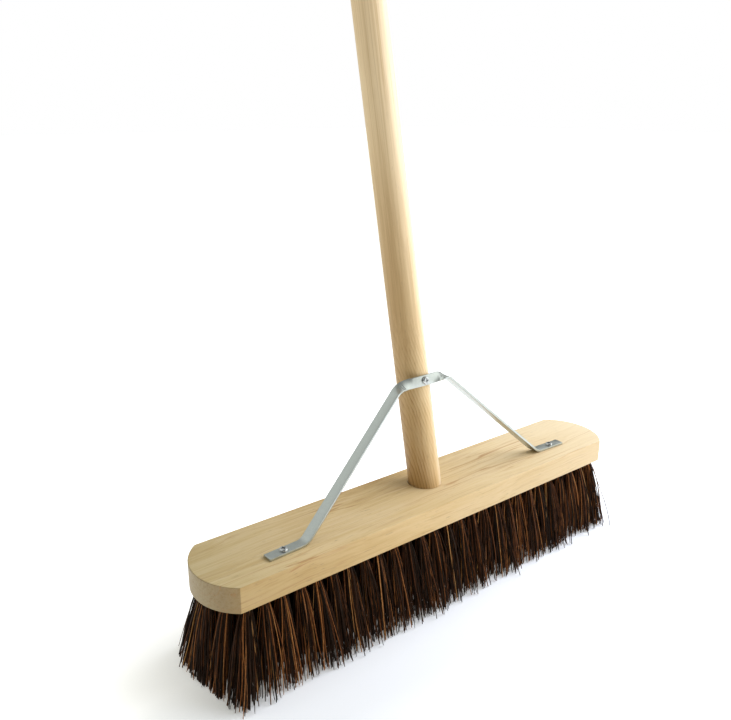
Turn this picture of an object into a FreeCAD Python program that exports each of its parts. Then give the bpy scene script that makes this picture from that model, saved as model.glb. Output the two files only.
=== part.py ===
"""Push broom: wooden stock, leaning wooden handle, steel stay and staple-set fibre tufts.

Millimetres, +Z up. The origin is on the floor under the middle of the stock, the stock runs
along X, and the handle leans back towards +Y.
"""

import FreeCAD, Part
import math
import os

import Sketcher
from FreeCAD import Placement, Rotation, Vector

X_AXIS = Vector(1, 0, 0)
Y_AXIS = Vector(0, 1, 0)
Z_AXIS = Vector(0, 0, 1)
ORIGIN = Vector(0, 0, 0)

DIMENSIONS = [
    # alias, value, what it is (millimetres and degrees)
    ("trim_length", 72, "fibre showing below the stock, which stands on the floor"),
    ("stock_length", 457, "over the two bowed ends"),
    ("stock_width", 73, "front to back"),
    ("stock_thick", 22, "underside to top"),
    ("end_bulge", 18.4, "how far each bowed end stands out past its corners"),
    ("back_corner", 4, "rounding of the two back corners"),
    ("front_corner", 1, "rounding of the two front corners"),
    ("edge_break", 0.7, "easing of the top and bottom edges"),
    ("handle_dia", 29.8, "30 mm dowel, sanded"),
    ("handle_length", 1220, "48 inch dowel"),
    ("handle_lean", 11.8, "degrees back from upright"),
    ("handle_across", 6.1, "where the handle's axis meets the stock's top, along X"),
    ("handle_back", 6.4, "where the handle's axis meets the stock's top, along Y"),
    ("handle_dome", 11, "rounding of the hand end"),
    ("handle_bevel", 1, "bevel of the end in the socket"),
    ("socket_depth", 16, "along the handle's axis, below the stock's top"),
    ("socket_gap", 0.3, "clearance all round the handle in its socket"),
    ("strap_width", 9.4, "stay strip"),
    ("strap_thick", 2.2, "stay strip"),
    ("strap_gap", 0.1, "between the strap and the handle's front"),
    ("strap_height", 96, "middle of the strap, along the handle from the stock's top"),
    ("strap_bow", 90, "radius of the strap's bow across the handle"),
    ("left_reach", 14, "bowed part of the strap left of the handle's middle"),
    ("right_reach", 9.5, "bowed part of the strap right of the handle's middle"),
    ("left_corner", -28.6, "where the left leg would meet the strap, along X from the handle"),
    ("right_corner", 24.7, "where the right leg would meet the strap, along X from the handle"),
    ("corner_setback", 1, "how far those two corners sit behind the strap's middle"),
    ("left_trim", 8, "straight leg given up to the twist below the left corner"),
    ("right_trim", 5, "straight leg given up to the twist below the right corner"),
    ("left_leg_turn", 8.8, "degrees that the left leg's face is turned to the front"),
    ("right_leg_turn", 7.6, "degrees that the right leg's face is turned to the front"),
    ("foot_bend", 14, "centreline radius of the bend above each foot"),
    ("foot_turn", 2.5, "degrees that each foot's inner end is turned back"),
    ("left_screw_at", -160.5, "left foot screw, along X"),
    ("left_screw_back", -15.8, "left foot screw, along Y"),
    ("left_toe", 15.3, "from the left foot's screw to its outer end"),
    ("left_heel", 20, "from the left foot's screw to where the leg leaves it"),
    ("right_screw_at", 157.2, "right foot screw, along X"),
    ("right_screw_back", -13.1, "right foot screw, along Y"),
    ("right_toe", 15.6, "from the right foot's screw to its outer end"),
    ("right_heel", 20.4, "from the right foot's screw to where the leg leaves it"),
    ("strap_hole_dia", 4.6, "screw holes through the stay"),
    ("screw_dia", 4, "plain shank of every screw"),
    ("screw_play", 0.05, "clearance all round a screw's shank"),
    ("pilot_spare", 0.3, "pilot hole left empty beyond its screw's point"),
    ("screw_head_dia", 7.2, "pan head"),
    ("screw_head_rise", 1.9, "height of the pan head"),
    ("screw_head_round", 1.5, "rounding of the pan head's top"),
    ("screw_point", 3, "length of the tapered point"),
    ("recess_width", 1.1, "one slot of the cross recess"),
    ("recess_span", 3.8, "length of each slot of the cross recess"),
    ("recess_depth", 1.4, "depth of the cross recess"),
    ("foot_screw_length", 11.5, "below the head"),
    ("strap_screw_length", 22, "below the head"),
    ("tuft_pitch", 15.5, "from hole to hole along a row"),
    ("row_gap", 14, "from row to row"),
    ("hole_dia", 7.5, "blind tuft hole"),
    ("hole_depth", 12, "along the tuft, from the underside"),
    ("hole_spare", 0.5, "hole left empty beyond the end of its tuft"),
    ("tuft_root_dia", 7.4, "tuft where it is gripped"),
    ("tuft_tip_dia", 14, "tuft where it meets the floor"),
    ("row_flare", 9, "how far the outer rows spread at the floor"),
    ("end_flare", 12, "how far the end tufts spread at the floor"),
    ("end_zone", 150, "tufts further out than this spread endways"),
    ("end_ramp", 51.5, "how far past the end zone the spread is at its full"),
    ("socket_wall", 1.5, "wood left between the handle's socket and a tuft hole"),
    ("gap_fill", 6.5, "how far the tufts round the socket lean in to fill the gap"),
    ("gap_zone", 7.5, "how near the innermost place for a hole a tuft is to lean in"),
    ("anchor_dia", 1.2, "staple wire that holds a tuft"),
    ("anchor_length", 7, "staple wire across the tuft"),
    ("anchor_rise", 9, "staple wire above the underside, along the tuft"),
    ("anchor_play", 0.05, "clearance all round the staple wire in its tuft"),
]

ROWS = {
    # row: (steps back from the middle row, tufts)
    "front_outer": (-2, 27),
    "front_inner": (-1, 28),
    "centre": (0, 29),
    "back_inner": (1, 28),
    "back_outer": (2, 27),
}
END_TUFT_FROM = 190  # a tuft rooted further out than this belongs to an end group
OVERRUN = 5  # how far a cutting tool runs on past the face it cuts
BEND_STEPS = 6  # sections round each bend above a foot
TWIST_STEPS = 10  # sections along each quarter twist
STRAP_STEPS = 8  # sections along the bowed strap
NEAR = 1e-4  # heights closer than this are the same
UPRIGHT = 0.999  # least upward part of a unit vector that counts as upright
CUT_TOLERANCE = 0.15  # how far a cut's volume may be from the cutter's own

doc = FreeCAD.newDocument("push_broom")
sheet = doc.addObject("Spreadsheet::Sheet", "dims")
nodes = []


def fill_sheet():
    """Write every driving dimension into the sheet, with its alias and its meaning."""
    for row, (alias, value, meaning) in enumerate(DIMENSIONS, start=1):
        sheet.set(f"A{row}", meaning)
        sheet.set(f"B{row}", str(value))
        sheet.setAlias(f"B{row}", alias)
    doc.recompute()


def size(alias):
    """The value of one driving dimension."""
    return float(sheet.get(alias))


def node(obj, label, placement=None):
    """Name a finished sub-part, place it and keep it for export."""
    obj.Label = label
    if placement is not None:
        obj.Placement = placement
    nodes.append(obj)
    return obj


def plane_of(body, role):
    """One of the body's own origin planes."""
    return next(f for f in body.Origin.OriginFeatures if f.Role == role)


def sketch_on(body, role, name, offset=None):
    """A sketch on one of the body's origin planes, moved by offset in the plane's own axes."""
    sketch = body.newObject("Sketcher::SketchObject", name)
    sketch.AttachmentSupport = [(plane_of(body, role), "")]
    sketch.MapMode = "FlatFace"
    if offset is not None:
        sketch.AttachmentOffset = Placement(offset, Rotation())
    return sketch


def bind(sketch, constraint, expression):
    """Add a constraint whose value follows the sheet."""
    index = sketch.addConstraint(constraint)
    sketch.setExpression(f"Constraints[{index}]", expression)


def dressed(body, kind, name, base, edges, alias):
    """Add a fillet or chamfer of the given edges of base, sized by a sheet value."""
    feature = body.newObject(f"PartDesign::{kind}", name)
    feature.Base = (base, edges)
    feature.setExpression("Radius" if kind == "Fillet" else "Size", f"dims.{alias}")
    doc.recompute()
    return feature


def edge_names(shape, wanted):
    """The names of the edges that the test picks."""
    return [f"Edge{i}" for i, edge in enumerate(shape.Edges, start=1) if wanted(edge)]


def is_upright(edge):
    """Does a straight edge run along Z?"""
    ends = [v.Point for v in edge.Vertexes]
    return len(ends) == 2 and abs((ends[1] - ends[0]).normalize().z) > UPRIGHT


def is_level_at(edge, height):
    """Does the whole edge lie at one height?"""
    box = edge.BoundBox
    return abs(box.ZMin - height) < NEAR and abs(box.ZMax - height) < NEAR


def polygon(sketch, corners):
    """A closed run of lines; each corner is two expressions, measured from the sketch's origin."""
    points = [Vector(*(float(sketch.evalExpression(e)) for e in corner)) for corner in corners]
    ends = zip(points, points[1:] + points[:1])
    lines = [sketch.addGeometry(Part.LineSegment(start, end)) for start, end in ends]
    for line, following in zip(lines, lines[1:] + lines[:1]):
        sketch.addConstraint(Sketcher.Constraint("Coincident", line, 2, following, 1))
    for line, point, (across, up) in zip(lines, points, corners):
        bind(sketch, Sketcher.Constraint("DistanceX", -1, 1, line, 1, point.x), across)
        bind(sketch, Sketcher.Constraint("DistanceY", -1, 1, line, 1, point.y), up)


def check_cut(before, after, expected, name):
    """Stop if a cut took away much more or less than its cutter's own volume."""
    if abs(before.Volume - after.Volume - expected) > CUT_TOLERANCE * expected:
        raise RuntimeError(f"{name} doesn't cut what it should")


# ---------------------------------------------------------------- placements


def stock_top():
    """Height of the stock's top above the floor."""
    return size("trim_length") + size("stock_thick")


def handle_axis():
    """Unit vector up the handle."""
    lean = math.radians(size("handle_lean"))
    return Vector(0, math.sin(lean), math.cos(lean))


def handle_front():
    """Unit vector out of the handle's front, square to its axis."""
    lean = math.radians(size("handle_lean"))
    return Vector(0, -math.cos(lean), math.sin(lean))


def on_handle(along):
    """Point on the handle's axis, measured from the stock's top."""
    foot = Vector(size("handle_across"), size("handle_back"), stock_top())
    return foot + handle_axis() * along


def handle_placement(along):
    """Frame on the handle's axis with Z along the handle and -Y out of its front."""
    return Placement(on_handle(along), Rotation(X_AXIS, -size("handle_lean")))


# --------------------------------------------------------------------- stock


def stock_blank():
    """The stock before drilling: two straight sides and two bowed ends."""
    body = doc.addObject("PartDesign::Body", "stock_blank")
    half_width = size("stock_width") / 2
    half_side = size("stock_length") / 2 - size("end_bulge")
    bow = (half_width**2 + size("end_bulge") ** 2) / (2 * size("end_bulge"))
    centre = half_side + size("end_bulge") - bow
    spread = math.asin(half_width / bow)
    outline = sketch_on(body, "XY_Plane", "outline")
    front = outline.addGeometry(
        Part.LineSegment(Vector(-half_side, -half_width), Vector(half_side, -half_width))
    )
    right = outline.addGeometry(
        Part.ArcOfCircle(Part.Circle(Vector(centre, 0), Z_AXIS, bow), -spread, spread)
    )
    back = outline.addGeometry(
        Part.LineSegment(Vector(half_side, half_width), Vector(-half_side, half_width))
    )
    left = outline.addGeometry(
        Part.ArcOfCircle(
            Part.Circle(Vector(-centre, 0), Z_AXIS, bow), math.pi - spread, math.pi + spread
        )
    )
    loop = [front, right, back, left]
    for one, other in zip(loop, loop[1:] + loop[:1]):
        outline.addConstraint(Sketcher.Constraint("Coincident", one, 2, other, 1))
    outline.addConstraint(Sketcher.Constraint("Symmetric", front, 1, front, 2, -2))
    outline.addConstraint(Sketcher.Constraint("Symmetric", front, 1, back, 2, -1))
    outline.addConstraint(Sketcher.Constraint("Symmetric", front, 2, back, 1, -1))
    bind(
        outline,
        Sketcher.Constraint("DistanceX", front, 1, front, 2, 2 * half_side),
        "dims.stock_length - 2 * dims.end_bulge",
    )
    bind(
        outline,
        Sketcher.Constraint("DistanceY", right, 1, right, 2, 2 * half_width),
        "dims.stock_width",
    )
    bow_radius = "(dims.stock_width^2 / 4 + dims.end_bulge^2) / (2 * dims.end_bulge)"
    for arc in (right, left):
        bind(outline, Sketcher.Constraint("Radius", arc, bow), bow_radius)
    pad = body.newObject("PartDesign::Pad", "plank")
    pad.Profile = outline
    pad.setExpression("Length", "dims.stock_thick")
    doc.recompute()
    base = pad
    for alias, side in (("back_corner", 1), ("front_corner", -1)):
        corners = edge_names(
            base.Shape, lambda e: is_upright(e) and side * e.CenterOfMass.y > 0
        )
        base = dressed(body, "Fillet", alias, base, corners, alias)
    rims = edge_names(
        base.Shape, lambda e: is_level_at(e, 0) or is_level_at(e, size("stock_thick"))
    )
    dressed(body, "Fillet", "eased_rims", base, rims, "edge_break")
    body.setExpression("Placement.Base.z", "dims.trim_length")
    return body


def cylinder(name, radius, height, placement):
    """A Part::Cylinder whose radius and height follow the sheet."""
    tool = doc.addObject("Part::Cylinder", name)
    tool.setExpression("Radius", radius)
    tool.setExpression("Height", height)
    tool.Placement = placement
    return tool


def foot_inward(side):
    """The way a foot runs from its toe to its heel, which is turned back a little."""
    turn = math.radians(size("foot_turn"))
    towards = 1 if side == "left" else -1
    return Vector(towards * math.cos(turn), math.sin(turn), 0)


def foot_screw_placement(side):
    """Frame of a foot's screw: on top of the foot, with Z up."""
    spot = Vector(size(f"{side}_screw_at"), size(f"{side}_screw_back"), stock_top())
    return Placement(spot + Z_AXIS * size("strap_thick"), Rotation())


def strap_screw_placement():
    """Frame of the strap's screw: on the strap's outer face, with Z out of the handle."""
    out = size("handle_dia") / 2 + size("strap_gap") + size("strap_thick")
    spot = on_handle(size("strap_height")) + handle_front() * out
    return Placement(spot, Rotation(X_AXIS, 90 - size("handle_lean")))


def pilot(name, placement, length_alias):
    """The hole that a screw goes into, a little longer than its shank."""
    depth = size(length_alias) + size("pilot_spare")
    into = placement * Placement(Vector(0, 0, -depth), Rotation())
    return cylinder(
        name,
        "dims.screw_dia / 2 + dims.screw_play",
        f"dims.{length_alias} + dims.pilot_spare",
        into,
    )


def drilled_stock(tufts):
    """The stock with its handle socket, two screw holes and a blind hole for every tuft."""
    holes = doc.addObject("Part::Feature", "tuft_holes")
    radius, length = size("hole_dia") / 2, size("hole_depth") + OVERRUN
    holes.Shape = Part.makeCompound(
        [Part.makeCylinder(radius, length, t.root - t.axis * OVERRUN, t.axis) for t in tufts]
    )
    cuts = doc.addObject("Part::Compound", "stock_cuts")
    cuts.Links = [
        holes,
        cylinder(
            "socket",
            "dims.handle_dia / 2 + dims.socket_gap",
            f"dims.socket_depth + {OVERRUN}",
            handle_placement(-size("socket_depth")),
        ),
        pilot("left_pilot", foot_screw_placement("left"), "foot_screw_length"),
        pilot("right_pilot", foot_screw_placement("right"), "foot_screw_length"),
    ]
    stock = doc.addObject("Part::Cut", "stock_cut")
    stock.Base = stock_blank()
    stock.Tool = cuts
    doc.recompute()
    return node(stock, "stock")


# -------------------------------------------------------------------- handle


def handle():
    """Round dowel with a domed hand end, a bevelled socket end and a screw hole in front."""
    body = doc.addObject("PartDesign::Body", "handle_body")
    round_ = sketch_on(body, "XY_Plane", "dowel_round")
    ring = round_.addGeometry(Part.Circle(ORIGIN, Z_AXIS, size("handle_dia") / 2))
    round_.addConstraint(Sketcher.Constraint("Coincident", ring, 3, -1, 1))
    bind(round_, Sketcher.Constraint("Diameter", ring, size("handle_dia")), "dims.handle_dia")
    dowel = body.newObject("PartDesign::Pad", "dowel")
    dowel.Profile = round_
    dowel.setExpression("Length", "dims.handle_length")
    doc.recompute()
    top = edge_names(dowel.Shape, lambda e: is_level_at(e, size("handle_length")))
    domed = dressed(body, "Fillet", "hand_end", dowel, top, "handle_dome")
    bottom = edge_names(domed.Shape, lambda e: is_level_at(e, 0))
    bevelled = dressed(body, "Chamfer", "socket_end", domed, bottom, "handle_bevel")
    depth = size("strap_screw_length") - size("strap_thick") - size("strap_gap")
    inner_end = size("handle_dia") / 2 - depth - size("pilot_spare")
    spot = sketch_on(
        body,
        "XZ_Plane",
        "screw_hole_round",
        Vector(0, size("socket_depth") + size("strap_height"), inner_end),
    )
    bore = spot.addGeometry(
        Part.Circle(ORIGIN, Z_AXIS, size("screw_dia") / 2 + size("screw_play"))
    )
    spot.addConstraint(Sketcher.Constraint("Coincident", bore, 3, -1, 1))
    bind(
        spot,
        Sketcher.Constraint("Radius", bore, size("screw_dia") / 2 + size("screw_play")),
        "dims.screw_dia / 2 + dims.screw_play",
    )
    hole = body.newObject("PartDesign::Pocket", "screw_hole")
    hole.Profile = spot
    hole.Type = "ThroughAll"
    hole.Reversed = True
    doc.recompute()
    drilled = math.pi * (size("screw_dia") / 2 + size("screw_play")) ** 2 * depth
    check_cut(bevelled.Shape, hole.Shape, drilled, "screw_hole")
    return node(body, "handle", handle_placement(-size("socket_depth")))


# -------------------------------------------------------------------- screws


def screw(label, placement, length_alias):
    """Pan-head wood screw with a cross recess; its frame is under the head, Z outwards."""
    body = doc.addObject("PartDesign::Body", f"{label}_body")
    head, rise = "dims.screw_head_dia / 2", "dims.screw_head_rise"
    shank, length = "dims.screw_dia / 2", f"dims.{length_alias}"
    profile = sketch_on(body, "XZ_Plane", f"{label}_profile")
    polygon(
        profile,
        [
            ("0", rise),
            (head, rise),
            (head, "0"),
            (shank, "0"),
            (shank, f"dims.screw_point - {length}"),
            ("0", f"-{length}"),
        ],
    )
    turned = body.newObject("PartDesign::Revolution", f"{label}_turned")
    turned.Profile = profile
    turned.ReferenceAxis = (profile, ["V_Axis"])
    turned.Angle = 360
    doc.recompute()
    top = edge_names(turned.Shape, lambda e: is_level_at(e, size("screw_head_rise")))
    rounded = dressed(body, "Fillet", f"{label}_pan", turned, top, "screw_head_round")
    floor = Vector(0, 0, size("screw_head_rise") - size("recess_depth"))
    cross = sketch_on(body, "XY_Plane", f"{label}_cross", floor)
    half, span = "dims.recess_width / 2", "dims.recess_span / 2"
    quarter = [(half, span), (half, half), (span, half)]
    lower = [(x, f"-{y}") for x, y in quarter[::-1]]
    right = quarter + lower
    polygon(cross, right + [(f"-{x}", y) for x, y in right[::-1]])
    recess = body.newObject("PartDesign::Pocket", f"{label}_recess")
    recess.Profile = cross
    recess.Type = "ThroughAll"
    recess.Reversed = True
    doc.recompute()
    width, reach = size("recess_width"), size("recess_span")
    removed = (2 * reach * width - width**2) * size("recess_depth")
    check_cut(rounded.Shape, recess.Shape, removed, f"{label}_recess")
    return node(body, label, placement)


# ---------------------------------------------------------------------- stay


class Station:
    """One cross-section of the stay: its middle, the way the strip runs and its width's way."""

    def __init__(self, middle, along, across):
        self.middle = middle
        self.along = Vector(along).normalize()
        square = across - self.along * across.dot(self.along)
        self.across = square.normalize()

    def outline(self):
        """The section as a closed wire."""
        half_width = self.across * (size("strap_width") / 2)
        half_thick = self.along.cross(self.across) * (size("strap_thick") / 2)
        corners = [
            self.middle + half_width * i + half_thick * j
            for i, j in ((-1, -1), (1, -1), (1, 1), (-1, 1), (-1, -1))
        ]
        return Part.makePolygon(corners)


def blend(first, last):
    """Stations between two others: a smooth curve whose width turns evenly from one to the other."""
    pull = (last.middle - first.middle).Length
    stations = []
    for i in range(1, TWIST_STEPS):
        t = i / TWIST_STEPS
        a, b = 2 * t**3 - 3 * t**2 + 1, t**3 - 2 * t**2 + t
        c, d = 3 * t**2 - 2 * t**3, t**3 - t**2
        middle = first.middle * a + first.along * (b * pull)
        middle = middle + last.middle * c + last.along * (d * pull)
        da, db = 6 * t**2 - 6 * t, 3 * t**2 - 4 * t + 1
        dc, dd = 6 * t - 6 * t**2, 3 * t**2 - 2 * t
        along = first.middle * da + first.along * (db * pull)
        along = along + last.middle * dc + last.along * (dd * pull)
        turn = math.pi / 2 * t
        stations.append(
            Station(middle, along, first.across * math.cos(turn) + last.across * math.sin(turn))
        )
    return stations


def strap_point(offset, setback):
    """Point at the strap's height, offset along X and set back from the strap's middle."""
    standing = size("handle_dia") / 2 + size("strap_gap") + size("strap_thick") / 2
    middle = on_handle(size("strap_height")) + handle_front() * (standing - setback)
    return middle + X_AXIS * offset


def strap_station(offset):
    """Station on the bowed strap in front of the handle, offset along X from its middle."""
    middle = strap_point(offset, offset**2 / (2 * size("strap_bow")))
    along = X_AXIS - handle_front() * (offset / size("strap_bow"))
    return Station(middle, along, handle_axis())


def leg_stations(side):
    """The foot, its bend and the leg of one side, from the foot's end up to the twist."""
    inward = foot_inward(side)
    foot_across = Station(ORIGIN, inward, Y_AXIS).across
    screw_at = foot_screw_placement(side).Base - Z_AXIS * (size("strap_thick") / 2)
    end = screw_at - inward * size(f"{side}_toe")
    heel = screw_at + inward * size(f"{side}_heel")
    corner = strap_point(size(f"{side}_corner"), size("corner_setback"))
    climb = (corner - heel).normalize()
    level = Station(heel, climb, Y_AXIS).across
    turn = math.radians(size(f"{side}_leg_turn"))
    leg_across = level * math.cos(turn) + climb.cross(level) * math.sin(turn)
    tangent = size("foot_bend") * math.tan(math.acos(climb.dot(inward)) / 2)
    bend_start, bend_end = heel - inward * tangent, heel + climb * tangent
    stations = [Station(end, inward, foot_across), Station(bend_start, inward, foot_across)]
    for i in range(1, BEND_STEPS):
        t = i / BEND_STEPS
        middle = bend_start * (1 - t) ** 2 + heel * (2 * t * (1 - t)) + bend_end * t**2
        along = inward * (1 - t) + climb * t
        across = foot_across * (1 - t**2) + leg_across * t**2
        stations.append(Station(middle, along, across))
    stations.append(Station(bend_end, climb, leg_across))
    stations.append(Station(corner - climb * size(f"{side}_trim"), climb, leg_across))
    return stations


def mirrored(stations):
    """The same stations run the other way, so that the strip goes on in one direction."""
    return [Station(s.middle, -s.along, s.across) for s in reversed(stations)]


def stay_stations():
    """Every section of the stay, from the left foot's end to the right foot's end."""
    left = leg_stations("left")
    right = mirrored(leg_stations("right"))
    start = -size("left_reach")
    step = (size("left_reach") + size("right_reach")) / STRAP_STEPS
    strap = [strap_station(start + i * step) for i in range(STRAP_STEPS + 1)]
    rise = blend(left[-1], strap[0])
    fall = blend(strap[-1], right[0])
    return left + rise + strap + fall + right


def stay():
    """One strip, bent at the feet, twisted a quarter turn each side and drilled three times."""
    strip = Part.makeLoft([s.outline() for s in stay_stations()], True, True)
    radius, through = size("strap_hole_dia") / 2, size("strap_thick") + 2 * OVERRUN
    for frame in (
        foot_screw_placement("left"),
        foot_screw_placement("right"),
        strap_screw_placement(),
    ):
        out = frame.Rotation.multVec(Z_AXIS)
        start = frame.Base - out * (size("strap_thick") + OVERRUN)
        strip = strip.cut(Part.makeCylinder(radius, through, start, out))
    feature = doc.addObject("Part::Feature", "stay_strip")
    feature.Shape = strip
    return node(feature, "stay")


# --------------------------------------------------------------------- tufts


class Tuft:
    """One bundle of fibres: rooted at the stock's underside and spreading to the floor."""

    def __init__(self, root, tip):
        self.root = Vector(root[0], root[1], size("trim_length"))
        self.tip = Vector(tip[0], tip[1], 0)
        self.axis = (self.root - self.tip).normalize()
        self.crossing = self.axis.cross(Y_AXIS).normalize()

    def wire(self, radius, length):
        """A short round wire across the tuft, inside its hole."""
        middle = self.root + self.axis * size("anchor_rise")
        start = middle - self.crossing * (length / 2)
        return Part.makeCylinder(radius, length, start, self.crossing)

    def bundle(self):
        """The fibres as one solid: a gripped root, a cone and a tip trimmed level."""
        root_radius = size("tuft_root_dia") / 2
        grip = size("hole_depth") - size("hole_spare")
        length = (self.root - self.tip).Length
        growth = (size("tuft_tip_dia") / 2 - root_radius) / length
        long_length = length + OVERRUN
        long_radius = root_radius + growth * long_length
        cone = Part.makeCone(root_radius, long_radius, long_length, self.root, -self.axis)
        side = 4 * size("tuft_tip_dia")
        below_floor = Part.makeBox(side, side, side, self.tip - Vector(side / 2, side / 2, side))
        shape = cone.cut(below_floor)
        shape = shape.fuse(Part.makeCylinder(root_radius, grip, self.root, self.axis))
        slot = self.wire(
            size("anchor_dia") / 2 + size("anchor_play"), size("tuft_root_dia") + OVERRUN
        )
        return shape.cut(slot).Solids[0]

    def anchor(self):
        """The staple's wire."""
        return self.wire(size("anchor_dia") / 2, size("anchor_length"))


def spread(x, y):
    """Where a tuft rooted at x, y meets the floor."""
    outwards = min(max((abs(x) - size("end_zone")) / size("end_ramp"), 0), 1)
    ends = size("end_flare") * outwards**2
    sides = size("row_flare") * y / (2 * size("row_gap"))
    return x + math.copysign(ends, x), y + sides


def tuft_at(x, y):
    """The tuft rooted at x, y, or None where the handle's socket leaves no wood for its hole."""
    deep = on_handle(-size("socket_depth"))
    away = math.hypot(x - deep.x, y - deep.y)
    nearest = (size("handle_dia") + size("hole_dia")) / 2
    nearest += size("socket_gap") + size("socket_wall")
    if away < nearest:
        return None
    tip_x, tip_y = spread(x, y)
    if away < nearest + size("gap_zone"):
        tip_x -= size("gap_fill") * (x - deep.x) / away
        tip_y -= size("gap_fill") * (y - deep.y) / away
    return Tuft((x, y), (tip_x, tip_y))


def tuft_groups():
    """Every tuft, by the group that it belongs to."""
    groups = {row: [] for row in ROWS}
    groups.update(left_end=[], right_end=[])
    for row, (steps_back, count) in ROWS.items():
        for i in range(count):
            x = (i - (count - 1) / 2) * size("tuft_pitch")
            tuft = tuft_at(x, steps_back * size("row_gap"))
            group = row
            if abs(x) > END_TUFT_FROM:
                group = "left_end" if x < 0 else "right_end"
            if tuft is not None:
                groups[group].append(tuft)
    return groups


def grouped_solids(label, solids):
    """Identical loose pieces as one named group of separate solids."""
    feature = doc.addObject("Part::Feature", f"{label}_solids")
    feature.Shape = Part.makeCompound(solids)
    return node(feature, label)


def checked_export():
    """Stop on any failed object, then write each sub-part to its own file."""
    doc.recompute()
    for obj in doc.Objects:
        bad = {"Invalid", "Error"} & set(obj.State)
        if bad:
            raise RuntimeError(f"{obj.Label} is {bad}")
    os.makedirs("parts", exist_ok=True)
    for obj in nodes:
        if obj.Shape.isNull() or not obj.Shape.isValid():
            raise RuntimeError(f"{obj.Label} has no valid shape")
        obj.Shape.exportStep(f"parts/{obj.Label}.step")
        print(f"{obj.Label}: {len(obj.Shape.Solids)} solids, {obj.Shape.Volume:.0f} mm3")


fill_sheet()
tufts_by_group = tuft_groups()
drilled_stock([tuft for group in tufts_by_group.values() for tuft in group])
handle()
stay()
screw("left_stay_screw", foot_screw_placement("left"), "foot_screw_length")
screw("right_stay_screw", foot_screw_placement("right"), "foot_screw_length")
screw("handle_screw", strap_screw_placement(), "strap_screw_length")
for group_name, group_tufts in tufts_by_group.items():
    grouped_solids(f"{group_name}_tufts", [tuft.bundle() for tuft in group_tufts])
    grouped_solids(f"{group_name}_anchors", [tuft.anchor() for tuft in group_tufts])
checked_export()
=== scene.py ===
"""Looks of the push broom: fibre by fibre tufts, wood and zinc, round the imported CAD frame.

Metres, in the row frame: +Z up, the stock along X, the fibre tips on the floor at z = 0.
"""

import math

import bmesh
import bpy
import numpy as np
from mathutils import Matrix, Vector


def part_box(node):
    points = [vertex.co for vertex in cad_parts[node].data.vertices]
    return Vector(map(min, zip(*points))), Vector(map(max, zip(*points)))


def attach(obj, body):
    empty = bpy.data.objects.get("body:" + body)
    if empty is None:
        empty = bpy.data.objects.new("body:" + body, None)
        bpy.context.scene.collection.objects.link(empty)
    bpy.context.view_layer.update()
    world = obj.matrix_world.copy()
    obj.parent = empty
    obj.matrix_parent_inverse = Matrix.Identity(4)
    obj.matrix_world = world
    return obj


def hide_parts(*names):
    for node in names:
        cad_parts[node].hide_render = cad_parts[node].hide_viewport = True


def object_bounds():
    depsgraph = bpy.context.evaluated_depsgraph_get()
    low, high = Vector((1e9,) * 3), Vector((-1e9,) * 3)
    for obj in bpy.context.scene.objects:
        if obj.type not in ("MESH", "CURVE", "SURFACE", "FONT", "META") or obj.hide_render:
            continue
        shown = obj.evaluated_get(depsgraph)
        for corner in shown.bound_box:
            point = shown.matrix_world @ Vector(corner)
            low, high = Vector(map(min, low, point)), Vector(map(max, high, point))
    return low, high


MM = 0.001
SEED = 41

# The tufts of each CAD node, and the name of the piece that stands for them
TUFT_NODES = {
    "front_outer_tufts": "front_outer_fibres",
    "front_inner_tufts": "front_inner_fibres",
    "centre_tufts": "centre_fibres",
    "back_inner_tufts": "back_inner_fibres",
    "back_outer_tufts": "back_outer_fibres",
    "left_end_tufts": "left_end_fibres",
    "right_end_tufts": "right_end_fibres",
}
FIBRES_PER_TUFT = 86
FIBRES_PER_END_TUFT = 150
FIBRE_SIDES = 5
FIBRE_SPANS = 7  # straight spans from the stock's underside to the tip
FIBRE_RADIUS = (0.30 * MM, 0.58 * MM)  # thinnest and thickest
FIBRE_FLATNESS = (0.6, 1.0)  # how thick a fibre is for its width
TIP_TAPER = 0.12  # how much thinner a fibre is at its tip
ROOT_SPREAD = 3.4 * MM  # radius of the tuft where it leaves its hole
TIP_SPREAD = 10.5 * MM  # radius of the tuft at the floor
ROOT_DEPTH = 7 * MM  # how far a fibre goes up into its hole, short of the staple
TIP_TWIST = 0.35  # radians by which a fibre wanders round its tuft
TIP_WANDER = 0.25  # share of the tuft's radius by which it wanders in or out
TIP_SHARE_MOST = 1.3  # furthest out that it may wander, as a share of the tuft's radius
FAN_CURVE = 0.8  # under 1, the fibres of a tuft part sooner
END_FAN = 5.4 * MM  # how much further the tufts at the left end lean out
END_SKEW = 0.8  # share of that by which the back ones lean out more, and the front ones less
END_PART = 0.4  # share by which a tuft's outer fibres lean out more, and its inner ones less
END_FROM = 0.185  # a tuft whose tips are further left than this is one of them
FRONT_FAN = 2.4 * MM  # how much further the front tufts lean out in the middle
FRONT_TILT = 3.2 * MM  # and how much more than that at the left end, or less at the right
FRONT_FROM = 0.012  # a tuft whose tips are further forward than this is one of them
SQUEEZE_LEFT = 0.226  # tips further left than this are drawn in, to the share that follows
SQUEEZE = ((0, 0.03), (0.35, 0.85))
SQUEEZE_RIGHT = 0.229  # tips further right than this are drawn in
SQUEEZE_RIGHT_BY = 0.7  # by this share of what is beyond it
STRAYS = 0.25  # share of the fibres that lean out of their tuft
STRAY_LEAN = 4.5 * MM
OTHERS_LEAN = 0.6 * MM
END_STRAYS_LESS = 0.75  # share of that lean that the furthest left tufts don't have
STEP_MOST = 1.7  # most that a random sideways step may be, for its spread
TUFT_LEAN = 1.6 * MM  # how far a whole tuft leans off its CAD axis
FRONT_MOST = 13 * MM  # furthest that a tip may be in front of the CAD tufts
BOW = 1.3 * MM
WAVE = 0.5 * MM
TRIM_SPREAD = 0.8 * MM  # how unevenly the tips are cut
TRIM_MOST = 5 * MM
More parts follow.
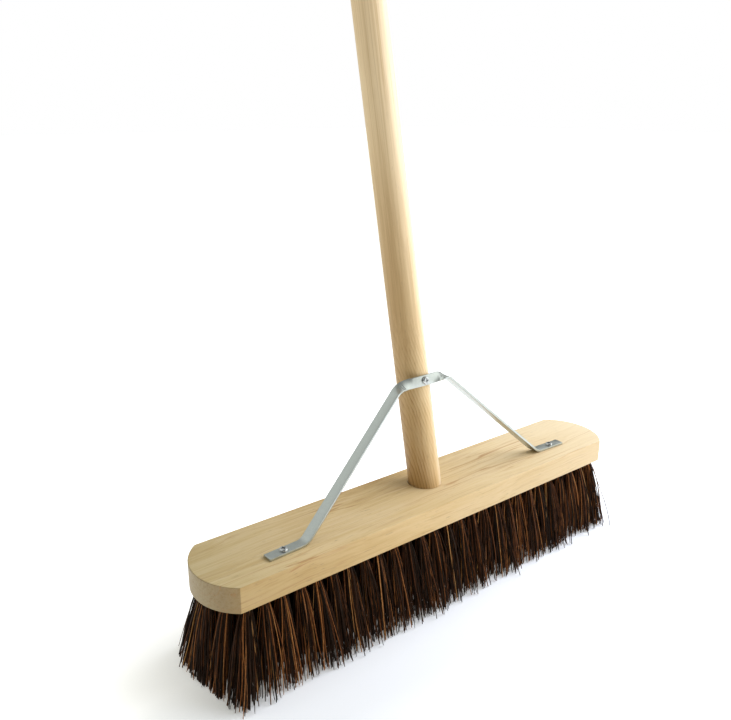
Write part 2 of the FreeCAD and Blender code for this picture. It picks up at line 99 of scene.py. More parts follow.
TINT_SHAPE = (1.25, 2.0)  # of the beta distribution that a fibre's tone is drawn from
WELD = 1e-6

STRIP_EASE = 0.4 * MM  # how far the stay's long edges are rounded
STRIP_EASE_SPANS = 3
STRIP_SHARP = math.radians(50)  # an edge sharper than this is rounded
STRIP_SMOOTH = math.radians(30)  # and one blunter than this is shaded smooth

# How fine the wood's noises are: across the grain, twice, and along it
SWAY_FINENESS = (25, 25, 7)
RIPPLE_FINENESS = (160, 160, 45)
WANDER_FINENESS = (14, 14, 7)
STRENGTH_FINENESS = (60, 60, 20)
BAND_FINENESS = (110, 110, 3)
STREAK_FINENESS = (520, 520, 14)
PATCH_FINENESS = (16, 16, 7)
VEIN_FINENESS = (400, 400, 6)
PORE_FINENESS = (1300, 1300, 90)
LONG_LINE_FINENESS = (85, 85, 1.6)
LONG_LINE_PLACES = (30, 30, 9)
FINE_LINE_FINENESS = (680, 680, 6)
SWAY = 8 * MM  # how far the rings' slow noise moves them
RIPPLE = 2.4 * MM  # and their quick one
WANDER = 22 * MM  # how far the other lines wander across the grain
BAND_SHARE, STREAK_SHARE, PATCH_SHARE = 0.20, 0.38, 0.42  # of the wood's tone
LATE_CURVE = 2.5  # over 1, the dark late wood keeps to the end of each ring
WOOD_RELIEF = 0.1 * MM

CLOUD_FINENESS = (120, 120, 120)  # of the zinc
GRIT_FINENESS = (900, 900, 900)
CLOUD_SHARE, GRIT_SHARE = 0.7, 0.3
ZINC_DARKEST = 0.78
ZINC_ROUGHER = 0.14
FIBRE_FINENESS = (1400, 1400, 60)
FINE_RELIEF = 0.05 * MM  # of the zinc and the fibres

TINT_ENDS = (-0.23, 0.23)  # the stock's left and right ends, where its tints begin and end
# The gap at the handle's foot: a painted shadow, painted dark on the stock's wood
GAP_SIDE = (-0.93, 0.37)  # the side of the handle on which its socket is wide
GAP_WIDTH = (0.4 * MM, 1.2 * MM)  # the gap is whole up to the first, and gone at the second
GAP_SPAN = (0.95, 1.02)  # shares of the handle's radius between which it grows dark
GAP_SHADOW_DARKNESS = 0.9
LEAN_RANGE = (0, 30)  # degrees between which the handle's lean is looked for
LEAN_STEPS = 6001

# The floor glows, so that it is white, and less near the brush, so that a shadow shows there
FLOOR_HALF = 12.0
FLOOR_GLOW_COLOUR = (1.0, 0.99, 0.94, 1)
FLOOR_GLOW = 0.66
FLOOR_GLOW_NEAR = (0.0, 0.36)  # right at the brush: in front of it, and behind
FLOOR_REACH = (0.32, 0.115)  # how far from it the whole glow begins: in front, and behind
FLOOR_UNDER = 0.03  # up to this far from its middle line the floor counts as at the brush
FLOOR_END = 0.2  # how far to the left and right that line goes

# The camera, at the photo's viewing angle
CAMERA_PLACE = (-0.43386, -0.46452, 0.42151)
CAMERA_YAW = math.radians(-37.555)
CAMERA_PITCH = math.radians(17.943)
CAMERA_LENS = 38.19
CAMERA_SHIFT = (0.01133, -0.00402)
SENSOR_WIDTH = 36

WALL_LIGHT = 0.09
WALL_COLOUR = (0.97, 1.0, 0.965, 1)
# Brighter patches of the walls: the way to each, how nearly a direction must agree with that
# to be in it at all, as a cosine, and the light that it adds at its middle
LIGHT_PATCHES = (
    ((0.88, -0.46, 0.1), 0.5, 1.65),  # the brightest wall, at the right
    ((-0.56, 0.32, 0.76), 0.6, 0.62),  # a window, high at the left
    ((0.2, 0.8, 0.55), 0.5, 0.42),  # behind
    ((0, 0, 1), 0.0, 0.04),  # overhead
)

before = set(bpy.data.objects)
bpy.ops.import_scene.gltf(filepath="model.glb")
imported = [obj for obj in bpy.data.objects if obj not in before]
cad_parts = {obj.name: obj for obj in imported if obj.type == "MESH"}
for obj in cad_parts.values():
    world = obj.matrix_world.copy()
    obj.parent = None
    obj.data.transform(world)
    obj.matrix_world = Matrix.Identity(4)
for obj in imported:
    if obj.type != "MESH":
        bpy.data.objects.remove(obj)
cad_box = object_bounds()


# ------------------------------------------------------------------ materials


class Look:
    """A procedural material being built, with a short call for each node that it needs."""

    def __init__(self, name, **settings):
        self.material = bpy.data.materials.new(name)
        self.material.use_nodes = True
        self.tree = self.material.node_tree
        self.tree.nodes.clear()
        self.shader = self.tree.nodes.new("ShaderNodeBsdfPrincipled")
        output = self.tree.nodes.new("ShaderNodeOutputMaterial")
        self.tree.links.new(self.shader.outputs["BSDF"], output.inputs["Surface"])
        for socket, value in settings.items():
            self.feed(self.shader.inputs[socket.replace("_", " ")], value)

    def feed(self, socket, value):
        """Link the socket if the value is another node's output, or else set it."""
        if isinstance(value, bpy.types.NodeSocket):
            self.tree.links.new(value, socket)
        else:
            socket.default_value = value

    def place(self, scale=(1, 1, 1), turn=(0, 0, 0)):
        """The object's own coordinates, turned and scaled."""
        source = self.tree.nodes.new("ShaderNodeTexCoord")
        mapping = self.tree.nodes.new("ShaderNodeMapping")
        self.feed(mapping.inputs["Vector"], source.outputs["Object"])
        self.feed(mapping.inputs["Scale"], scale)
        self.feed(mapping.inputs["Rotation"], turn)
        return mapping.outputs["Vector"]

    def rescale(self, vector, scale):
        """The vector with each part multiplied."""
        mapping = self.tree.nodes.new("ShaderNodeMapping")
        self.feed(mapping.inputs["Vector"], vector)
        self.feed(mapping.inputs["Scale"], scale)
        return mapping.outputs["Vector"]

    def noise(self, vector, scale=1.0, detail=4.0, roughness=0.5):
        """Smooth noise, round 0.5."""
        node = self.tree.nodes.new("ShaderNodeTexNoise")
        self.feed(node.inputs["Vector"], vector)
        self.feed(node.inputs["Scale"], scale)
        self.feed(node.inputs["Detail"], detail)
        self.feed(node.inputs["Roughness"], roughness)
        return node.outputs["Fac"]

    def split(self, vector):
        """The X, Y and Z of a vector."""
        node = self.tree.nodes.new("ShaderNodeSeparateXYZ")
        self.feed(node.inputs["Vector"], vector)
        return node.outputs["X"], node.outputs["Y"], node.outputs["Z"]

    def join(self, x, y, z):
        """The vector of an X, a Y and a Z."""
        node = self.tree.nodes.new("ShaderNodeCombineXYZ")
        self.feed(node.inputs["X"], x)
        self.feed(node.inputs["Y"], y)
        self.feed(node.inputs["Z"], z)
        return node.outputs["Vector"]

    def maths(self, operation, a, b=0.0):
        """One operation on two values, such as ADD."""
        node = self.tree.nodes.new("ShaderNodeMath")
        node.operation = operation
        self.feed(node.inputs[0], a)
        self.feed(node.inputs[1], b)
        return node.outputs["Value"]

    def plus(self, a, b, share):
        """The first value and a share of the second."""
        return self.maths("ADD", a, self.maths("MULTIPLY", b, share))

    def length(self, a, b):
        """How long a step of a one way and b across it is."""
        square = self.maths("MULTIPLY", a, a)
        return self.maths("SQRT", self.maths("ADD", square, self.maths("MULTIPLY", b, b)))

    def remap(self, value, low, high, to_low=0.0, to_high=1.0, smooth=False):
        """The value carried from one range to another, and kept inside it."""
        node = self.tree.nodes.new("ShaderNodeMapRange")
        node.interpolation_type = "SMOOTHSTEP" if smooth else "LINEAR"
        self.feed(node.inputs["Value"], value)
        self.feed(node.inputs["From Min"], low)
        self.feed(node.inputs["From Max"], high)
        self.feed(node.inputs["To Min"], to_low)
        self.feed(node.inputs["To Max"], to_high)
        return node.outputs["Result"]

    def ramp(self, value, stops):
        """The colour at a value, from (place, colour) stops."""
        node = self.tree.nodes.new("ShaderNodeValToRGB")
        self.feed(node.inputs["Fac"], value)
        elements = node.color_ramp.elements
        while len(elements) < len(stops):
            elements.new(1.0)
        for element, (place, colour) in zip(elements, stops):
            element.position = place
            element.color = (*colour, 1)
        return node.outputs["Color"]

    def mix(self, share, a, b, blend="MIX"):
        """Colour a, and b over it by the share given."""
        node = self.tree.nodes.new("ShaderNodeMix")
        node.data_type = "RGBA"
        node.blend_type = blend
        self.feed(node.inputs["Factor"], share)
        sockets = [s for s in node.inputs if s.type == "RGBA"]
        for socket, colour in zip(sockets, (a, b)):
            linked = isinstance(colour, bpy.types.NodeSocket)
            self.feed(socket, colour if linked else (*colour, 1))
        return next(s for s in node.outputs if s.type == "RGBA")

    def attribute(self, name):
        """A number that the mesh has at each of its corners."""
        node = self.tree.nodes.new("ShaderNodeAttribute")
        node.attribute_name = name
        return node.outputs["Fac"]

    def paint(self, socket, value):
        """Link or set one of the shader's own sockets."""
        self.feed(self.shader.inputs[socket], value)

    def bump(self, height, distance, strength=1.0):
        """Relief that stands a distance proud where the height is 1."""
        node = self.tree.nodes.new("ShaderNodeBump")
        self.feed(node.inputs["Height"], height)
        node.inputs["Distance"].default_value = distance
        node.inputs["Strength"].default_value = strength
        self.feed(self.shader.inputs["Normal"], node.outputs["Normal"])


class Grain:
    """Growth rings in wood, whose distance from the pith drifts along the grain."""

    def __init__(self, pith, ring_gap, slope, ring_depth, dip=None, fade=None):
        self.pith = pith  # across the grain, in metres
        self.ring_gap = ring_gap
        self.slope = slope  # metres of drift for each metre along the grain
        self.ring_depth = ring_depth  # how much the late wood of a ring darkens it
        self.dip = dip  # (from, to, metres of drift between them), or None
        self.fade = fade  # (from, to) along the grain, where the rings grow faint, or None

    def rings(self, look, vector):
        """From 0 to 1 across each ring; the vector's Z runs along the grain."""
        x, y, z = look.split(vector)
        aside = look.maths("SUBTRACT", x, self.pith[0])
        behind = look.maths("SUBTRACT", y, self.pith[1])
        away = look.plus(look.length(aside, behind), z, self.slope)
        away = look.plus(away, look.noise(look.rescale(vector, SWAY_FINENESS), detail=2), SWAY)
        away = look.plus(away, look.noise(look.rescale(vector, RIPPLE_FINENESS), detail=3), RIPPLE)
        if self.dip:
            low, high, drift = self.dip
            away = look.maths("ADD", away, look.remap(z, low, high, 0.0, drift, smooth=True))
        return look.maths("FRACT", look.maths("DIVIDE", away, self.ring_gap))


def wandering(look, vector):
    """The vector shifted across the grain by a slow noise, so that no line is quite straight."""
    slow = look.noise(look.rescale(vector, WANDER_FINENESS), detail=2)
    shift = look.maths("MULTIPLY", look.maths("SUBTRACT", slow, 0.5), WANDER)
    x, y, z = look.split(vector)
    return look.join(look.maths("ADD", x, shift), look.maths("ADD", y, shift), z)


def wood(look, vector, grain, colours, vein_colour, pore_colour):
    """Pale close-grained wood: faint rings, long streaks, brown veins and short pores."""
    ring = grain.rings(look, vector)
    late = look.remap(look.maths("POWER", ring, LATE_CURVE), 0.0, 1.0, 0.0, grain.ring_depth)
    strength = look.noise(look.rescale(vector, STRENGTH_FINENESS), detail=2)
    late = look.maths("MULTIPLY", late, look.remap(strength, 0.35, 0.65, 0.15, 1.0))
    if grain.fade:
        along = look.split(vector)[2]
        late = look.maths("MULTIPLY", late, look.remap(along, *grain.fade, 1.0, 0.05))
    vector = wandering(look, vector)
    bands = look.noise(look.rescale(vector, BAND_FINENESS), detail=4, roughness=0.6)
    streaks = look.noise(look.rescale(vector, STREAK_FINENESS), detail=4, roughness=0.65)
    patches = look.noise(look.rescale(vector, PATCH_FINENESS), detail=3)
    tone = look.plus(look.maths("MULTIPLY", bands, BAND_SHARE), streaks, STREAK_SHARE)
    tone = look.plus(tone, patches, PATCH_SHARE)
    tone = look.maths("ADD", tone, late)
    base = look.ramp(tone, colours)
    veins = look.noise(look.rescale(vector, VEIN_FINENESS), detail=3, roughness=0.55)
    base = look.mix(look.remap(veins, 0.58, 0.70, 0.0, 0.6), base, vein_colour)
    pores = look.noise(look.rescale(vector, PORE_FINENESS), detail=2, roughness=0.5)
    dashes = look.remap(pores, 0.64, 0.74)
    base = look.mix(look.maths("MULTIPLY", dashes, 0.5), base, pore_colour)
    look.paint("Roughness", look.remap(streaks, 0.3, 0.7, 0.42, 0.58))
    ridges = look.maths("MULTIPLY", streaks, 0.6)
    height = look.maths("SUBTRACT", ridges, look.maths("MULTIPLY", dashes, 0.5))
    look.bump(height, WOOD_RELIEF, 0.5)
    return base


def stock_wood(lean):
    """The stock's wood: its tints, with painted light that makes it paler at its right end, darker
    at its front and greyer on its top, a few dark lines, and a painted shadow in the gap at the
    handle's foot.
    """
    look = Look("stock_wood_look", Specular_IOR_Level=0.5)
    # The coordinates are turned so that Z runs along the stock
    vector = look.place(turn=(0, math.radians(-90), 0))
    grain = Grain(pith=(-0.13, 0.035), ring_gap=4.5 * MM, slope=0.03, ring_depth=0.07)
    colours = [
        (0.38, (0.73, 0.54, 0.285)),
        (0.50, (0.68, 0.485, 0.225)),
        (0.60, (0.60, 0.40, 0.155)),
        (0.72, (0.47, 0.28, 0.09)),
    ]
    base = wood(look, vector, grain, colours, (0.50, 0.29, 0.10), (0.27, 0.15, 0.06))
    facing = look.tree.nodes.new("ShaderNodeNewGeometry").outputs["Normal"]
    endwise = look.maths("ABSOLUTE", look.split(facing)[0])
    end_grain = look.mix(1.0, base, (0.62, 0.60, 0.60), "MULTIPLY")
    base = look.mix(look.remap(endwise, 0.25, 0.8), base, end_grain)
    x, y, _ = look.split(look.place())
    # Painted light: the wood is painted paler towards its right end, where the light is strongest
    base = look.mix(look.remap(x, -0.03, 0.23, 0.05, 0.48), base, (0.84, 0.72, 0.50))
    # Painted light by which way the surface faces: its front is painted darker and richer in
    # colour, most of all at the left, as painted shade, and its top is painted greyer there, as a
    # painted sheen
    along = look.remap(x, *TINT_ENDS)
    front_shade_stops = [
        (0.0, (0.72, 0.66, 0.52)),
        (0.4, (0.98, 0.93, 0.83)),
        (1.0, (0.92, 0.86, 0.76)),
    ]
    top_sheen_stops = [
        (0.0, (0.83, 0.88, 0.89)),
        (0.22, (1.0, 1.0, 1.0)),
        (0.5, (0.95, 0.93, 0.88)),
        (1.0, (1.0, 1.0, 1.0)),
    ]
    painted_front_shade = look.ramp(along, front_shade_stops)
    painted_top_sheen = look.ramp(along, top_sheen_stops)
    forwards = look.maths("MULTIPLY", look.split(facing)[1], -1.0)
    # tint: the front's painted shade and the top's painted sheen, chosen by which way the surface
    # faces
    tint = look.mix(look.remap(forwards, 0.3, 0.8), painted_top_sheen, painted_front_shade)
    base = look.mix(1.0, base, tint, "MULTIPLY")
    # A few long thin dark lines follow the grain
    fine = look.rescale(wandering(look, vector), LONG_LINE_FINENESS)
    slow = look.maths("SUBTRACT", look.noise(fine, detail=3, roughness=0.45), 0.5)
    line = look.remap(look.maths("ABSOLUTE", slow), 0.0, 0.015, 1.0, 0.0)
    some = look.noise(look.rescale(vector, LONG_LINE_PLACES), detail=2)
    some = look.remap(some, 0.42, 0.6, 0.0, 0.85)
    base = look.mix(look.maths("MULTIPLY", line, some), base, (0.42, 0.20, 0.06))
    # The socket is a little wide of the handle at its left; the shade in that gap is a painted
    # shadow, painted dark on the wood
    foot_x, foot_y, radius = handle_foot(lean)
    x = look.maths("SUBTRACT", x, foot_x)
    aside = look.maths("MULTIPLY", look.maths("SUBTRACT", y, foot_y), math.cos(lean))
    edges = [radius + width for width in GAP_WIDTH]
    gap = look.remap(look.length(x, aside), *edges, 1.0, 0.0)
    leftwards = look.plus(look.maths("MULTIPLY", x, GAP_SIDE[0]), aside, GAP_SIDE[1])
    span = [share * radius for share in GAP_SPAN]
    gap = look.maths("MULTIPLY", gap, look.remap(leftwards, *span, 0.0, GAP_SHADOW_DARKNESS))
    look.paint("Base Color", look.mix(gap, base, (0.05, 0.025, 0.01)))
    return look.material


def handle_wood(lean):
    """The handle's wood, whose rings run out up it, with its tints and painted light on its left
    and right sides.
    """
    look = Look("handle_wood_look", Specular_IOR_Level=0.5)
    vector = look.place(turn=(lean, 0, 0))
    grain = Grain(
        pith=(-0.13, 0.06),
        ring_gap=2.7 * MM,
        slope=0.004,
        ring_depth=0.34,
        dip=(0.08, 0.26, 0.036),
        fade=(0.20, 0.26),
    )
    colours = [
        (0.38, (0.74, 0.55, 0.29)),
        (0.50, (0.68, 0.47, 0.22)),
        (0.62, (0.56, 0.35, 0.135)),
        (0.76, (0.38, 0.21, 0.07)),
    ]
    base = wood(look, vector, grain, colours, (0.56, 0.36, 0.15), (0.30, 0.17, 0.07))
    # Paler and less orange further up
    across, _, up = look.split(vector)
    base = look.mix(look.remap(up, 0.10, 0.17, 0.3, 0.0), base, (0.58, 0.34, 0.12))
    base = look.mix(look.remap(up, 0.16, 0.42, 0.0, 0.66), base, (0.94, 0.75, 0.49))
    # Fine brown lines run up it there
    lines = look.noise(look.rescale(vector, FINE_LINE_FINENESS), detail=3, roughness=0.6)
    lines = look.remap(lines, 0.44, 0.66, 0.0, 0.6)
    lines = look.maths("MULTIPLY", lines, look.remap(up, 0.17, 0.28))
    base = look.mix(lines, base, (0.56, 0.37, 0.16))
    # Low down, painted light: its left side is painted browner, as painted shade, and its right
    # side, which the light strikes, paler, as a painted highlight
    foot_x = handle_foot(lean)[0]
    low = look.remap(up, 0.26, 0.45, 1.0, 0.0)
    left = look.remap(across, foot_x - 12 * MM, foot_x - 1 * MM, 1.0, 0.0, smooth=True)
    # brown: painted shade on the handle's left side
    brown = look.mix(1.0, base, (0.80, 0.73, 0.62), "MULTIPLY")
    base = look.mix(look.maths("MULTIPLY", left, low), base, brown)
    right = look.remap(across, foot_x + 2 * MM, foot_x + 12 * MM, 0.0, 0.6, smooth=True)
    base = look.mix(look.maths("MULTIPLY", right, low), base, (0.90, 0.78, 0.56))
    # Further up, painted light: its right side, which the light strikes, is painted greyer and
    # bluer
    high = look.remap(up, 0.35, 0.55, 0.0, 1.5)
    grey = look.mix(1.0, base, (0.80, 0.82, 0.90), "MULTIPLY")
    look.paint("Base Color", look.mix(look.maths("MULTIPLY", right, high), base, grey))
    return look.material


def zinc(name, tone, roughness):
    """Plated steel: cool grey, faintly mottled, with a fine grit."""
    look = Look(name, Metallic=1.0)
    place = look.place()
    cloud = look.noise(look.rescale(place, CLOUD_FINENESS), detail=4, roughness=0.6)
    grit = look.noise(look.rescale(place, GRIT_FINENESS), detail=2)
    shade = look.plus(look.maths("MULTIPLY", cloud, CLOUD_SHARE), grit, GRIT_SHARE)
    dark = tuple(ZINC_DARKEST * part for part in tone)
    look.paint("Base Color", look.ramp(shade, [(0.3, dark), (0.7, tone)]))
    look.paint("Roughness", look.remap(cloud, 0.3, 0.7, roughness, roughness + ZINC_ROUGHER))
    look.bump(shade, FINE_RELIEF, 0.5)
    return look.material


def fibre():
    """Stiff plant fibre: nearly black to reddish brown, a few strands golden."""
    look = Look("bassine_look", Specular_IOR_Level=0.08)
    tint = look.attribute("tint")
    colours = [
        (0.0, (0.011, 0.007, 0.0035)),
        (0.42, (0.036, 0.014, 0.006)),
        (0.62, (0.14, 0.047, 0.014)),
        (0.82, (0.35, 0.13, 0.036)),
        (1.0, (0.64, 0.34, 0.12)),
    ]
    streak = look.noise(look.place(scale=FIBRE_FINENESS), detail=3, roughness=0.6)
    shifted = look.maths("ADD", tint, look.remap(streak, 0.3, 0.7, -0.10, 0.10))
    look.paint("Base Color", look.ramp(shifted, colours))
    look.paint("Roughness", look.remap(streak, 0.3, 0.7, 0.42, 0.66))
    look.bump(streak, FINE_RELIEF, 0.6)
    return look.material


def dress(obj, material):
    """Put the material on every slot of the object."""
    if not obj.material_slots:
        obj.data.materials.append(material)
    for slot in obj.material_slots:
        slot.material = material


# --------------------------------------------------------------------- fibres


def solids_of(node):
    """The corners of each separate solid of a CAD node, in a fixed order."""
    mesh = bmesh.new()
    mesh.from_mesh(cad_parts[node].data)
    bmesh.ops.remove_doubles(mesh, verts=mesh.verts[:], dist=WELD)
    found = []
    for vertex in mesh.verts:
        if vertex.tag:
            continue
        vertex.tag = True
        solid = [vertex]
        for reached in solid:
            for edge in reached.link_edges:
                other = edge.other_vert(reached)
                if not other.tag:
                    other.tag = True
                    solid.append(other)
        found.append(np.array([v.co for v in solid]))
    mesh.free()
    return sorted(found, key=lambda corners: tuple(corners.mean(0).round(5)))


def tuft_axis(corners, underside):
    """Where a tuft leaves the stock, and where its axis meets the floor."""
    leaving = corners[abs(corners[:, 2] - underside) < 2 * MM]
    landing = corners[corners[:, 2] < WELD]
    return leaving.mean(0), landing.mean(0)


def scattered(rng, count, spread):
    """Random sideways steps, with no height."""
    steps = np.zeros((count, 3))
    sizes = np.clip(rng.normal(0, 1, (count, 2)), -STEP_MOST, STEP_MOST)
    steps[:, :2] = sizes * np.reshape(spread, (-1, 1))
    return steps


def on_circle(radius, angle):
    """Sideways steps of the radii and angles given, with no height."""
    return np.stack([radius * np.cos(angle), radius * np.sin(angle), np.zeros_like(angle)], 1)


def fibre_paths(rng, root, tip, count):
    """Centre lines of one tuft's fibres, from inside the hole to the trimmed tips."""
    axis = (root - tip) / np.linalg.norm(root - tip)
    angle = rng.uniform(0, 2 * math.pi, count)
    share = np.sqrt(rng.uniform(0, 1, count))
    start = root + on_circle(share * ROOT_SPREAD, angle)
    tip_share = np.clip(share + rng.normal(0, TIP_WANDER, count), 0, TIP_SHARE_MOST)
    tip_angle = angle + rng.normal(0, TIP_TWIST, count)
    end = tip + on_circle(tip_share * TIP_SPREAD, tip_angle)
    end = end + scattered(rng, 1, TUFT_LEAN)
    outwards = max(-tip[0] - END_FROM, 0) / (-cad_box[0].x - END_FROM)
    skew = 1 - END_SKEW * tip[1] / cad_box[0].y
    part = 1 - END_PART * share * np.cos(angle)
    end[:, 0] -= END_FAN * outwards * skew * part
    forwards = max(-tip[1] - FRONT_FROM, 0) / (-cad_box[0].y - FRONT_FROM)
    fan = FRONT_FAN + FRONT_TILT * tip[0] / cad_box[0].x
    end[:, 1] -= fan * forwards * (1 - share * np.sin(angle))
    aside = np.where(rng.uniform(0, 1, count) < STRAYS, STRAY_LEAN, OTHERS_LEAN)
    end = end + scattered(rng, count, aside * (1 - END_STRAYS_LESS * outwards))
    end[:, 1] = np.maximum(end[:, 1], cad_box[0].y - FRONT_MOST)
    beyond = np.maximum(-end[:, 0] - SQUEEZE_LEFT, 0)
    end[:, 0] += beyond * (1 - np.interp(end[:, 1], *SQUEEZE))
    end[:, 0] -= np.maximum(end[:, 0] - SQUEEZE_RIGHT, 0) * SQUEEZE_RIGHT_BY
    trim = np.clip(abs(rng.normal(0, TRIM_SPREAD, count)), FIBRE_RADIUS[1], TRIM_MOST)
    reach = 1 - trim / (root[2] - tip[2])
    end = start + (end - start) * reach[:, None]
    t = np.linspace(0, 1, FIBRE_SPANS + 1)[None, :, None]
    bow = scattered(rng, count, BOW)[:, None, :]
    wave = scattered(rng, count, WAVE)[:, None, :]
    parted = t**FAN_CURVE * (1, 1, 0) + t * (0, 0, 1)
    line = start[:, None, :] + (end - start)[:, None, :] * parted
    line = line + bow * np.sin(math.pi * t) + wave * np.sin(2 * math.pi * t)
    hidden = start[:, None, :] + axis * ROOT_DEPTH
    return np.concatenate([hidden, line], 1)


def tube_corners(rng, paths):
    """Rings of corners round every centre line, flattened and tapered."""
    count, rings = paths.shape[:2]
    width = rng.uniform(*FIBRE_RADIUS, count)
    flat = rng.uniform(*FIBRE_FLATNESS, count)
    turn = rng.uniform(0, math.pi, count)
    t = np.arange(rings) / (rings - 1)
    taper = 1 - TIP_TAPER * t**2
    around = np.arange(FIBRE_SIDES) * 2 * math.pi / FIBRE_SIDES
    a = width[:, None, None] * taper[None, :, None] * np.cos(around)[None, None, :]
    b = (width * flat)[:, None, None] * taper[None, :, None] * np.sin(around)[None, None, :]
    cos, sin = np.cos(turn)[:, None, None], np.sin(turn)[:, None, None]
    corners = np.repeat(paths[:, :, None, :], FIBRE_SIDES, 2)
    corners[..., 0] += a * cos - b * sin
    corners[..., 1] += a * sin + b * cos
    return corners


def tube_faces(count, rings):
    """Side quads and end caps of every tube, as rows of corner numbers."""
    sides = []
    for ring in range(rings - 1):
        for side in range(FIBRE_SIDES):
            after = (side + 1) % FIBRE_SIDES
            low, high = ring * FIBRE_SIDES, (ring + 1) * FIBRE_SIDES
            sides.append((low + side, high + side, high + after, low + after))
    first = tuple(range(FIBRE_SIDES))
    last = tuple((rings - 1) * FIBRE_SIDES + side for side in reversed(range(FIBRE_SIDES)))
    one = sides + [first, last]
    starts = range(0, count * rings * FIBRE_SIDES, rings * FIBRE_SIDES)
    return [tuple(start + corner for corner in face) for start in starts for face in one]


def fibres_for(node, piece_name, rng, material):
    """All the fibres that stand for one CAD node of tufts, as one mesh."""
    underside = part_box("stock")[0].z
    axes = [tuft_axis(corners, underside) for corners in solids_of(node)]
    each = FIBRES_PER_END_TUFT if "_end_" in node else FIBRES_PER_TUFT
    paths = np.concatenate([fibre_paths(rng, root, tip, each) for root, tip in axes])
    corners = tube_corners(rng, paths)
    count, rings = paths.shape[:2]
    mesh = bpy.data.meshes.new(piece_name)
    mesh.from_pydata(corners.reshape(-1, 3).tolist(), [], tube_faces(count, rings))
    mesh.shade_smooth()
    tint = np.repeat(rng.beta(*TINT_SHAPE, count), rings * FIBRE_SIDES)
    layer = mesh.attributes.new("tint", "FLOAT", "POINT")
    layer.data.foreach_set("value", tint.astype(np.float32))
    mesh.materials.append(material)
    piece = bpy.data.objects.new(piece_name, mesh)
    bpy.context.scene.collection.objects.link(piece)
    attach(piece, "root")
    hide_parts(node)


# ----------------------------------------------------------------------- stay


def eased_stay(material):
    """The stay's own CAD shape with its long edges rounded, as rolled strip has them."""
    mesh = bmesh.new()
    mesh.from_mesh(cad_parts["stay"].data)
    bmesh.ops.remove_doubles(mesh, verts=mesh.verts[:], dist=WELD)
    inner = [e for e in mesh.edges if len(e.link_faces) == 2]
    sharp = [e for e in inner if e.calc_face_angle() > STRIP_SHARP]
    bmesh.ops.bevel(
        mesh,
        geom=sharp,
        offset=STRIP_EASE,
        segments=STRIP_EASE_SPANS,
        profile=0.5,
        affect="EDGES",
        clamp_overlap=True,
    )
    data = bpy.data.meshes.new("stay_strip")
    mesh.to_mesh(data)
    mesh.free()
    data.shade_smooth()
    data.set_sharp_from_angle(angle=STRIP_SMOOTH)
    data.materials.append(material)
    piece = bpy.data.objects.new("stay_strip", data)
    bpy.context.scene.collection.objects.link(piece)
    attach(piece, "root")
    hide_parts("stay")


# ---------------------------------------------------------------------- scene


def handle_corners():
    """The corners of the handle's CAD mesh, as rows."""
    return np.array([v.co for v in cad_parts["handle"].data.vertices])


def handle_lean():
    """How far the handle leans back: the lean along which it looks thinnest from its end."""
    corners = handle_corners()
    leans = np.radians(np.linspace(*LEAN_RANGE, LEAN_STEPS))
    across = np.outer(np.cos(leans), corners[:, 1]) - np.outer(np.sin(leans), corners[:, 2])
    return float(leans[np.ptp(across, axis=1).argmin()])


def handle_foot(lean):
    """Where the handle's axis crosses the stock's top, as x and y, and the handle's radius."""
    corners = handle_corners()
    across = corners[:, 1] * math.cos(lean) - corners[:, 2] * math.sin(lean)
    axis = (across.min() + across.max()) / 2
    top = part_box("stock")[1].z
    x = (corners[:, 0].min() + corners[:, 0].max()) / 2
    return x, (axis + top * math.sin(lean)) / math.cos(lean), (across.max() - across.min()) / 2


def floor():
    """A wide pale sheet, which glows less near the brush."""
    mesh = bpy.data.meshes.new("floor")
    half = FLOOR_HALF
    corners = [(-half, -half, 0), (half, -half, 0), (half, half, 0), (-half, half, 0)]
    mesh.from_pydata(corners, [], [(0, 1, 2, 3)])
    look = Look(
        "floor_look",
        Specular_IOR_Level=0.1,
        Roughness=0.9,
        Emission_Color=FLOOR_GLOW_COLOUR,
    )
    x, y, _ = look.split(look.place())
    past_end = look.maths("SUBTRACT", look.maths("ABSOLUTE", x), FLOOR_END)
    away = look.length(look.maths("MAXIMUM", past_end, 0.0), y)
    near = look.remap(y, -0.1, 0.0, *FLOOR_GLOW_NEAR)
    reach = look.remap(y, -0.12, 0.0, *FLOOR_REACH)
    glow = look.remap(away, FLOOR_UNDER, reach, near, FLOOR_GLOW, smooth=True)
    look.paint("Emission Strength", glow)
    cloud = look.noise(look.place(), scale=3.0)
    pale = look.ramp(cloud, [(0.3, (0.88, 0.876, 0.85)), (0.7, (0.9, 0.896, 0.87))])
    look.paint("Base Color", pale)
    mesh.materials.append(look.material)
    sheet = bpy.data.objects.new("floor", mesh)
    bpy.context.scene.collection.objects.link(sheet)


def lamp(name, place, target, side, watts, colour):
    """A square soft light that faces its target, and makes no glare on metal."""
    data = bpy.data.lights.new(name, "AREA")
    data.shape = "SQUARE"
    data.size = side
    data.energy = watts
    data.color = colour
    obj = bpy.data.objects.new(name, data)
    obj.location = place
    obj.rotation_euler = (Vector(place) - Vector(target)).to_track_quat("Z", "Y").to_euler()
    obj.visible_glossy = False
    bpy.context.scene.collection.objects.link(obj)


def sun(name, towards, strength, softness, colour):
    """Parallel soft light that comes from the direction given."""
    data = bpy.data.lights.new(name, "SUN")
    data.energy = strength
    data.angle = softness
    data.color = colour
    obj = bpy.data.objects.new(name, data)
    obj.rotation_euler = Vector(towards).to_track_quat("Z", "Y").to_euler()
    bpy.context.scene.collection.objects.link(obj)


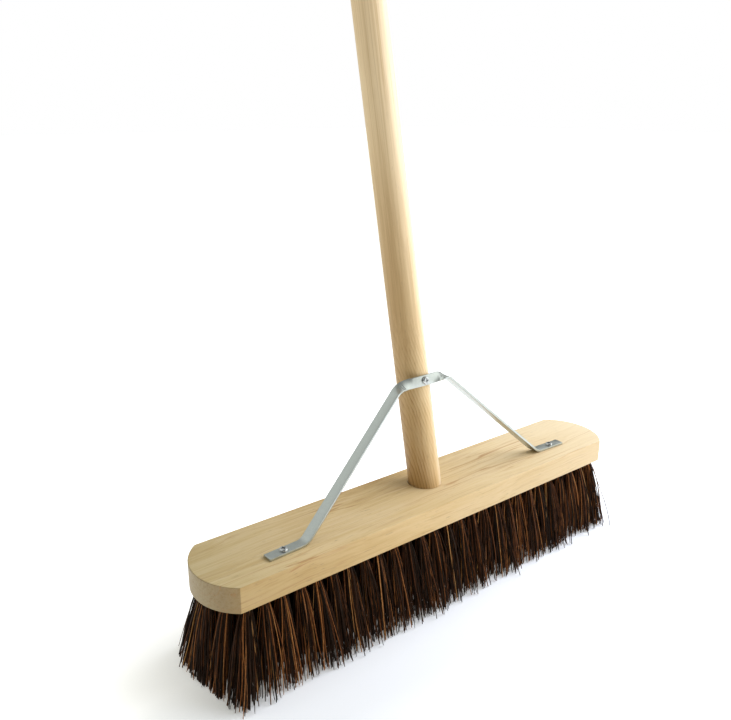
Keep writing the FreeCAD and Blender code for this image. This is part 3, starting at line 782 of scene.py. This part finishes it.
def surroundings():
    """White to the camera; as light, dim grey walls with four brighter patches."""
    world = bpy.data.worlds.new("studio")
    bpy.context.scene.world = world
    world.use_nodes = True
    tree = world.node_tree
    tree.nodes.clear()
    output = tree.nodes.new("ShaderNodeOutputWorld")
    seen = tree.nodes.new("ShaderNodeBackground")
    seen.inputs["Color"].default_value = (1, 1, 1, 1)
    lighting = tree.nodes.new("ShaderNodeBackground")
    lighting.inputs["Color"].default_value = WALL_COLOUR
    towards = tree.nodes.new("ShaderNodeTexCoord")
    total = WALL_LIGHT
    for direction, start, added in LIGHT_PATCHES:
        aligned = tree.nodes.new("ShaderNodeVectorMath")
        aligned.operation = "DOT_PRODUCT"
        aligned.inputs[1].default_value = direction
        tree.links.new(towards.outputs["Generated"], aligned.inputs[0])
        level = tree.nodes.new("ShaderNodeMapRange")
        level.interpolation_type = "SMOOTHSTEP"
        level.inputs["From Min"].default_value = start
        level.inputs["To Max"].default_value = added
        tree.links.new(aligned.outputs["Value"], level.inputs["Value"])
        adding = tree.nodes.new("ShaderNodeMath")
        if isinstance(total, float):
            adding.inputs[1].default_value = total
        else:
            tree.links.new(total, adding.inputs[1])
        tree.links.new(level.outputs["Result"], adding.inputs[0])
        total = adding.outputs["Value"]
    tree.links.new(total, lighting.inputs["Strength"])
    path = tree.nodes.new("ShaderNodeLightPath")
    either = tree.nodes.new("ShaderNodeMixShader")
    tree.links.new(path.outputs["Is Camera Ray"], either.inputs[0])
    tree.links.new(lighting.outputs["Background"], either.inputs[1])
    tree.links.new(seen.outputs["Background"], either.inputs[2])
    tree.links.new(either.outputs["Shader"], output.inputs["Surface"])


def camera():
    """The camera, where the photo was taken from."""
    data = bpy.data.cameras.new("camera")
    data.lens = CAMERA_LENS
    data.sensor_width = SENSOR_WIDTH
    data.shift_x, data.shift_y = CAMERA_SHIFT
    obj = bpy.data.objects.new("camera", data)
    obj.location = CAMERA_PLACE
    obj.rotation_euler = (math.pi / 2 - CAMERA_PITCH, 0, CAMERA_YAW)
    bpy.context.scene.collection.objects.link(obj)
    bpy.context.scene.camera = obj


def build():
    """Dress the CAD nodes that stay, add the pieces for the others, and set the scene."""
    rng = np.random.default_rng(SEED)
    lean = handle_lean()
    dress(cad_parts["stock"], stock_wood(lean))
    dress(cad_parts["handle"], handle_wood(lean))
    eased_stay(zinc("zinc_strip_look", tone=(0.60, 0.635, 0.61), roughness=0.32))
    screw_look = zinc("screw_steel_look", tone=(0.68, 0.70, 0.71), roughness=0.24)
    wire_look = zinc("anchor_wire_look", tone=(0.55, 0.53, 0.5), roughness=0.3)
    for name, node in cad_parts.items():
        if name.endswith("_screw"):
            dress(node, screw_look)
        if name.endswith("_anchors"):
            dress(node, wire_look)
    bassine = fibre()
    for node, piece_name in TUFT_NODES.items():
        fibres_for(node, piece_name, rng, bassine)
    floor()
    surroundings()
    sun(
        "fill",
        towards=(0.6, 0.1, 0.5),
        strength=0.3,
        softness=math.radians(50),
        colour=(1.0, 1.0, 1.0),
    )
    lamp(
        "key",
        place=(0.57, -0.2, 0.58),
        target=(0.1, 0, 0.12),
        side=0.8,
        watts=7.2,
        colour=(0.92, 1.0, 1.25),
    )
    bpy.context.scene.view_settings.view_transform = "Standard"
    camera()


build()
